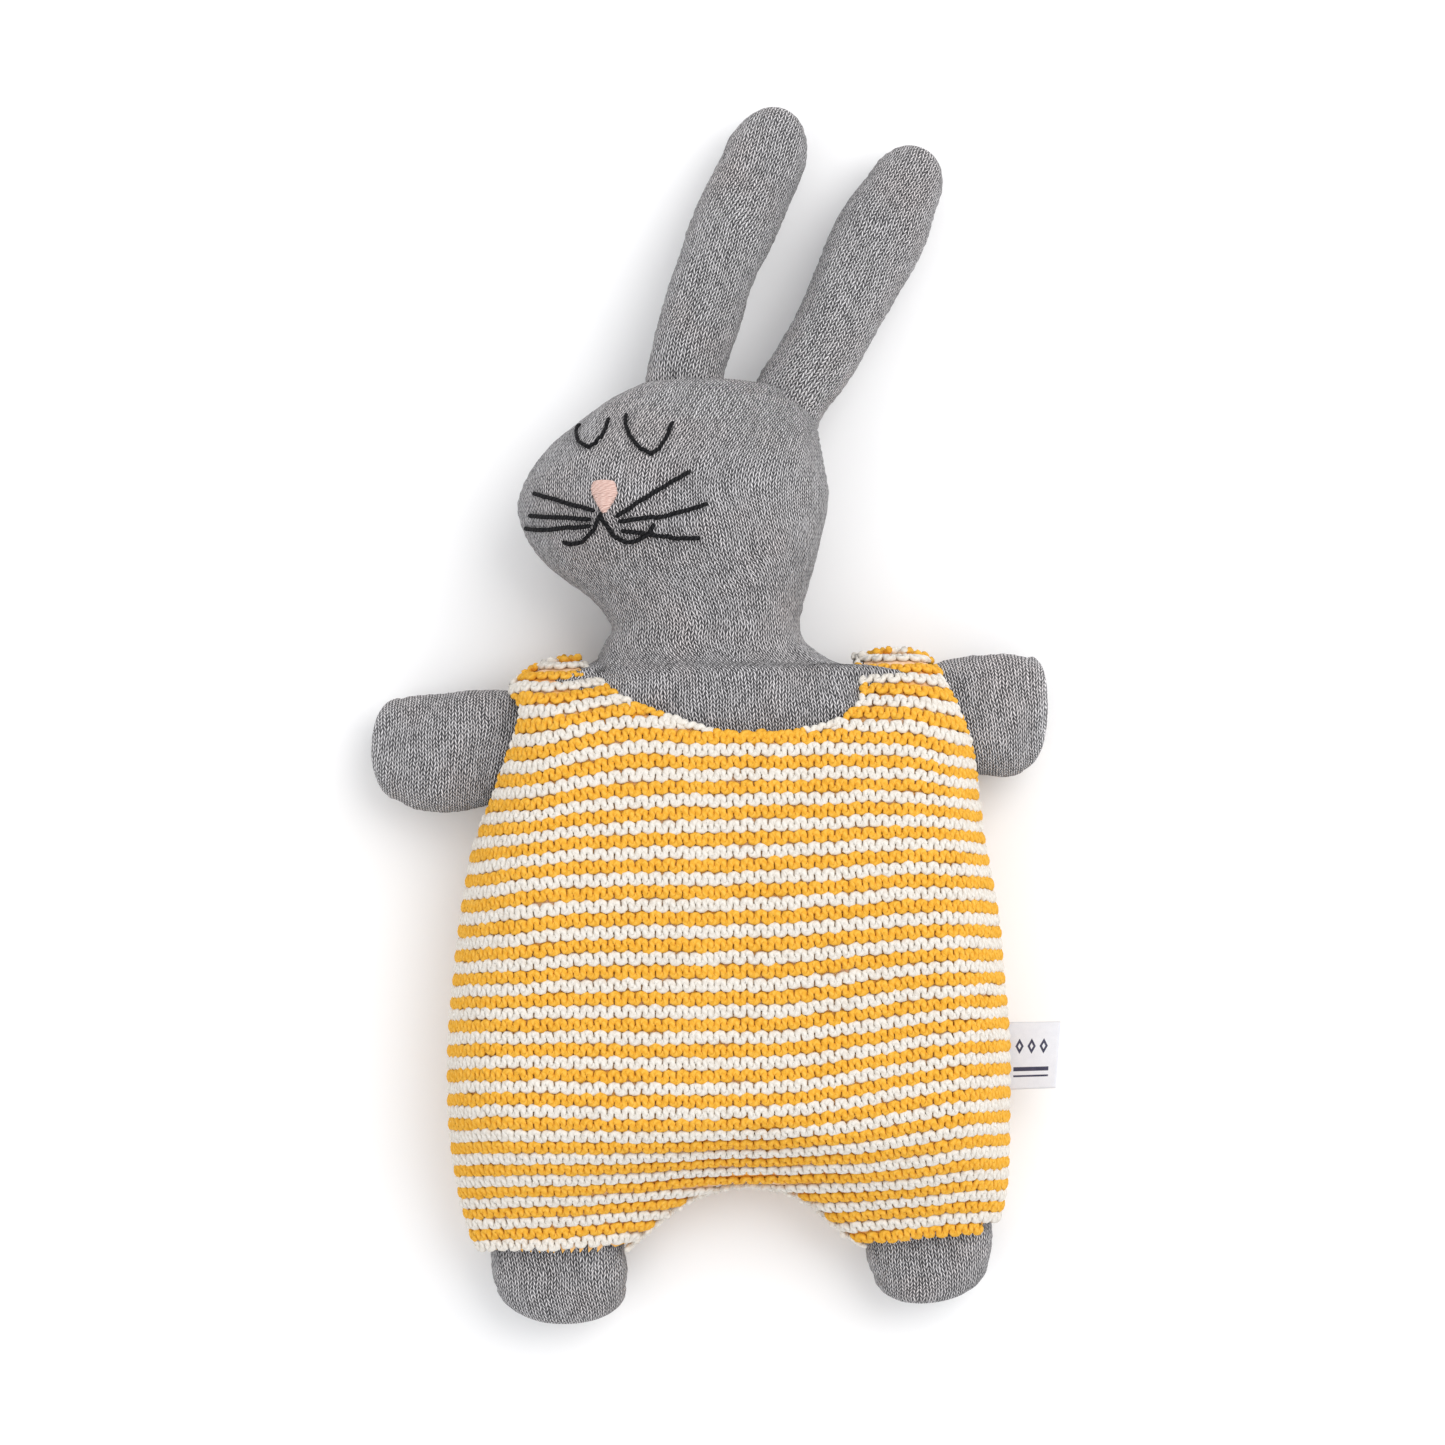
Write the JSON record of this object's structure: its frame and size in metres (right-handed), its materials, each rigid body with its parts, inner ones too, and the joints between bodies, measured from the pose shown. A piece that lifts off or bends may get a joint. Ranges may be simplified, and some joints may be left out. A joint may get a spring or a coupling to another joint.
{
  "type": "stuffed bunny rabbit",
  "caption": "Knitted plush rabbit lying on its back: grey jersey body with long stuffed ears, stitched sleeping face, and a striped garter-knit romper.",
  "frame": {"origin": "on the surface that the toy lies on, under the middle of its overall box", "axes": "+Z out of the belly, +Y towards the ears, +X towards the toy's left hand"},
  "size_m": [0.2151, 0.3802, 0.0704],
  "materials": {
    "grey_jersey": "matte",
    "fibre_filling": "matte",
    "garter_knit": "matte",
    "black_thread": "matte",
    "pink_thread": "satin",
    "woven_label": "matte"
  },
  "bodies": {
    "torso": {"torso_cover": "grey_jersey", "torso_filling": "fibre_filling", "romper_front": "garter_knit", "romper_back": "garter_knit", "side_label": "woven_label"},
    "head": {"head_cover": "grey_jersey", "head_filling": "fibre_filling", "eye_stitch_left": "black_thread", "eye_stitch_right": "black_thread", "nose_stitch": "pink_thread", "mouth_stitch_left": "black_thread", "mouth_stitch_right": "black_thread", "whisker_left_upper": "black_thread", "whisker_left_middle": "black_thread", "whisker_left_lower": "black_thread", "whisker_right_upper": "black_thread", "whisker_right_middle": "black_thread", "whisker_right_lower": "black_thread"},
    "ear_left": {"ear_cover_left": "grey_jersey", "ear_filling_left": "fibre_filling"},
    "ear_right": {"ear_cover_right": "grey_jersey", "ear_filling_right": "fibre_filling"},
    "arm_left": {"arm_cover_left": "grey_jersey", "arm_filling_left": "fibre_filling"},
    "arm_right": {"arm_cover_right": "grey_jersey", "arm_filling_right": "fibre_filling"},
    "foot_left": {"foot_cover_left": "grey_jersey", "foot_filling_left": "fibre_filling"},
    "foot_right": {"foot_cover_right": "grey_jersey", "foot_filling_right": "fibre_filling"}
  },
  "joints": [
    {"name": "neck_nod", "type": "hinge", "parent": "torso", "child": "head", "pos_m": [-0.004, 0.017, 0.028], "axis": [1, 0, 0], "range_deg": [-15, 22], "stiffness_Nm_per_rad": 0.6},
    {"name": "ear_bend_right", "type": "hinge", "parent": "head", "child": "ear_right", "pos_m": [-0.008, 0.116, 0.0295], "axis": [0.9349, -0.355, 0], "range_deg": [-10, 60], "stiffness_Nm_per_rad": 0.04},
    {"name": "ear_bend_left", "type": "hinge", "parent": "head", "child": "ear_left", "pos_m": [0.0276, 0.1075, 0.0285], "axis": [0.899, -0.438, 0], "range_deg": [-10, 60], "stiffness_Nm_per_rad": 0.04},
    {"name": "arm_swing_right", "type": "hinge", "parent": "torso", "child": "arm_right", "pos_m": [-0.0705, -0.0103, 0.0255], "axis": [-0.02, 0.9998, 0], "range_deg": [-15, 40], "stiffness_Nm_per_rad": 0.03},
    {"name": "arm_swing_left", "type": "hinge", "parent": "torso", "child": "arm_left", "pos_m": [0.08, 0.0006, 0.0255], "axis": [0.02, -0.9998, 0], "range_deg": [-15, 40], "stiffness_Nm_per_rad": 0.03},
    {"name": "foot_bend_right", "type": "hinge", "parent": "torso", "child": "foot_right", "pos_m": [-0.0512, -0.1688, 0.0184], "axis": [-0.9996, 0.03, 0], "range_deg": [-20, 25], "stiffness_Nm_per_rad": 0.02},
    {"name": "foot_bend_left", "type": "hinge", "parent": "torso", "child": "foot_left", "pos_m": [0.0672, -0.1652, 0.0184], "axis": [-0.995, -0.0995, 0], "range_deg": [-20, 25], "stiffness_Nm_per_rad": 0.02}
  ]
}
